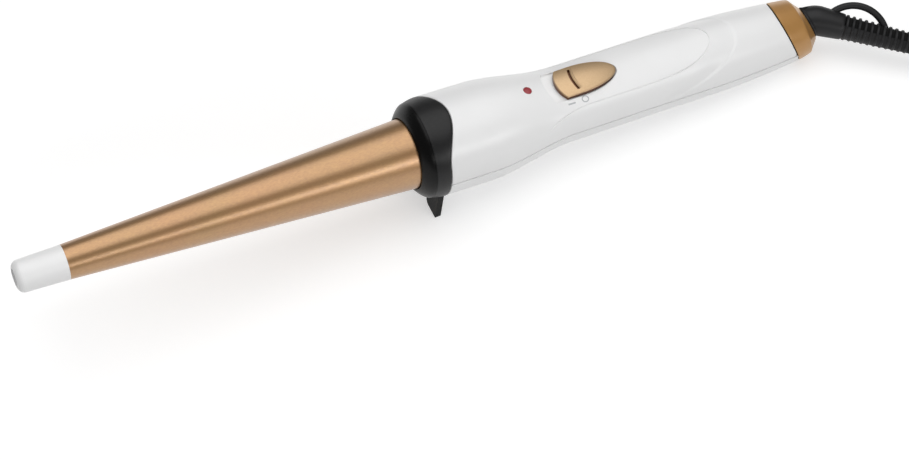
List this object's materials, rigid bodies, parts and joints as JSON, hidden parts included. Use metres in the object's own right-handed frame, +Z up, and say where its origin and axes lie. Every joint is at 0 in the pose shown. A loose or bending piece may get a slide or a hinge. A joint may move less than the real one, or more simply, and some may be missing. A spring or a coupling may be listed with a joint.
{
  "type": "curling iron",
  "caption": "Conical curling wand with a cool tip, a two-footed rest, a slide switch and pilot lamp on a contoured handle, and a swivelling mains cord.",
  "frame": {"origin": "on the table under the middle of the wand as it rests on its feet and its grip, cord left out", "axes": "+X from the tip to the cord end, +Z up through the switch, +Y across"},
  "size_m": [0.4584, 0.0918, 0.0428],
  "materials": {
    "white_tip": "satin heat-proof white plastic",
    "barrel_coat": "satin rose gold coating on the aluminium cone",
    "gloss_black": "polished black plastic",
    "matt_black": "matt black plastic",
    "white_shell": "polished white moulded plastic",
    "red_lens": "clear red plastic light pipe",
    "switch_gold": "polished pale gold plated plastic",
    "cap_bronze": "bronze metallised plastic",
    "relief_black": "soft black moulded vinyl",
    "cord_black": "black vinyl sheath",
    "tie_black": "black plastic strip",
    "plug_black": "black moulded vinyl",
    "pin_steel": "nickel plated, bright",
    "steel": "plain steel",
    "shoe_alloy": "bare extruded alloy",
    "heater_ceramic": "dark grey ceramic",
    "film_amber": "amber polyimide film",
    "bush_ceramic": "cream heat-proof compound",
    "lead_sleeve": "braided glass sleeve",
    "sleeve_plastic": "dark heat-proof plastic",
    "lamp": "diffused epoxy",
    "board_green": "green lacquered board",
    "capacitor_yellow": "yellow box",
    "resistor_tan": "tan lacquer",
    "slider_white": "plain white plastic",
    "knob_black": "plain black plastic",
    "supply_lead": "vinyl insulation",
    "contact_brass": "bare brass"
  },
  "bodies": {
    "handle": {"tip_cap": "white_tip", "tip_screw": "steel", "barrel": "barrel_coat", "lower_heater_shoe": "shoe_alloy", "upper_heater_shoe": "shoe_alloy", "ptc_elements": "heater_ceramic", "insulation_film": "film_amber", "thermal_fuse": "steel", "barrel_bush": "bush_ceramic", "heater_leads": "lead_sleeve", "bezel_ring": "gloss_black", "collar_band": "matt_black", "collar_sleeve": "sleeve_plastic", "stand_foot": "matt_black", "upper_shell": "white_shell", "lower_shell": "white_shell", "led_lens": "red_lens", "led": "lamp", "circuit_board": "board_green", "dropper_capacitor": "capacitor_yellow", "board_parts": "resistor_tan", "slide_switch": "sleeve_plastic", "supply_leads": "supply_lead", "contact_carrier": "sleeve_plastic", "contact_springs": "contact_brass", "end_cap": "cap_bronze"},
    "switch": {"switch_cap": "switch_gold", "switch_slider": "slider_white", "switch_knob": "knob_black"},
    "cord_swivel": {"swivel_core": "knob_black", "slip_rings": "contact_brass", "cord_relief": "relief_black", "cord_lead": "cord_black", "cord_coil": "cord_black", "cord_tail": "cord_black", "cord_tie": "tie_black", "plug_body": "plug_black", "plug_pins": "pin_steel"}
  },
  "joints": [
    {"name": "switch_slide", "type": "slide", "parent": "handle", "child": "switch", "axis": [-0.9956, 0, 0.0932], "range_m": [0, 0.004]},
    {"name": "cord_swivel", "type": "hinge", "parent": "handle", "child": "cord_swivel", "pos_m": [0.14637, 0, 0.01096], "axis": [0.9358, 0, 0.3527], "continuous": true}
  ]
}
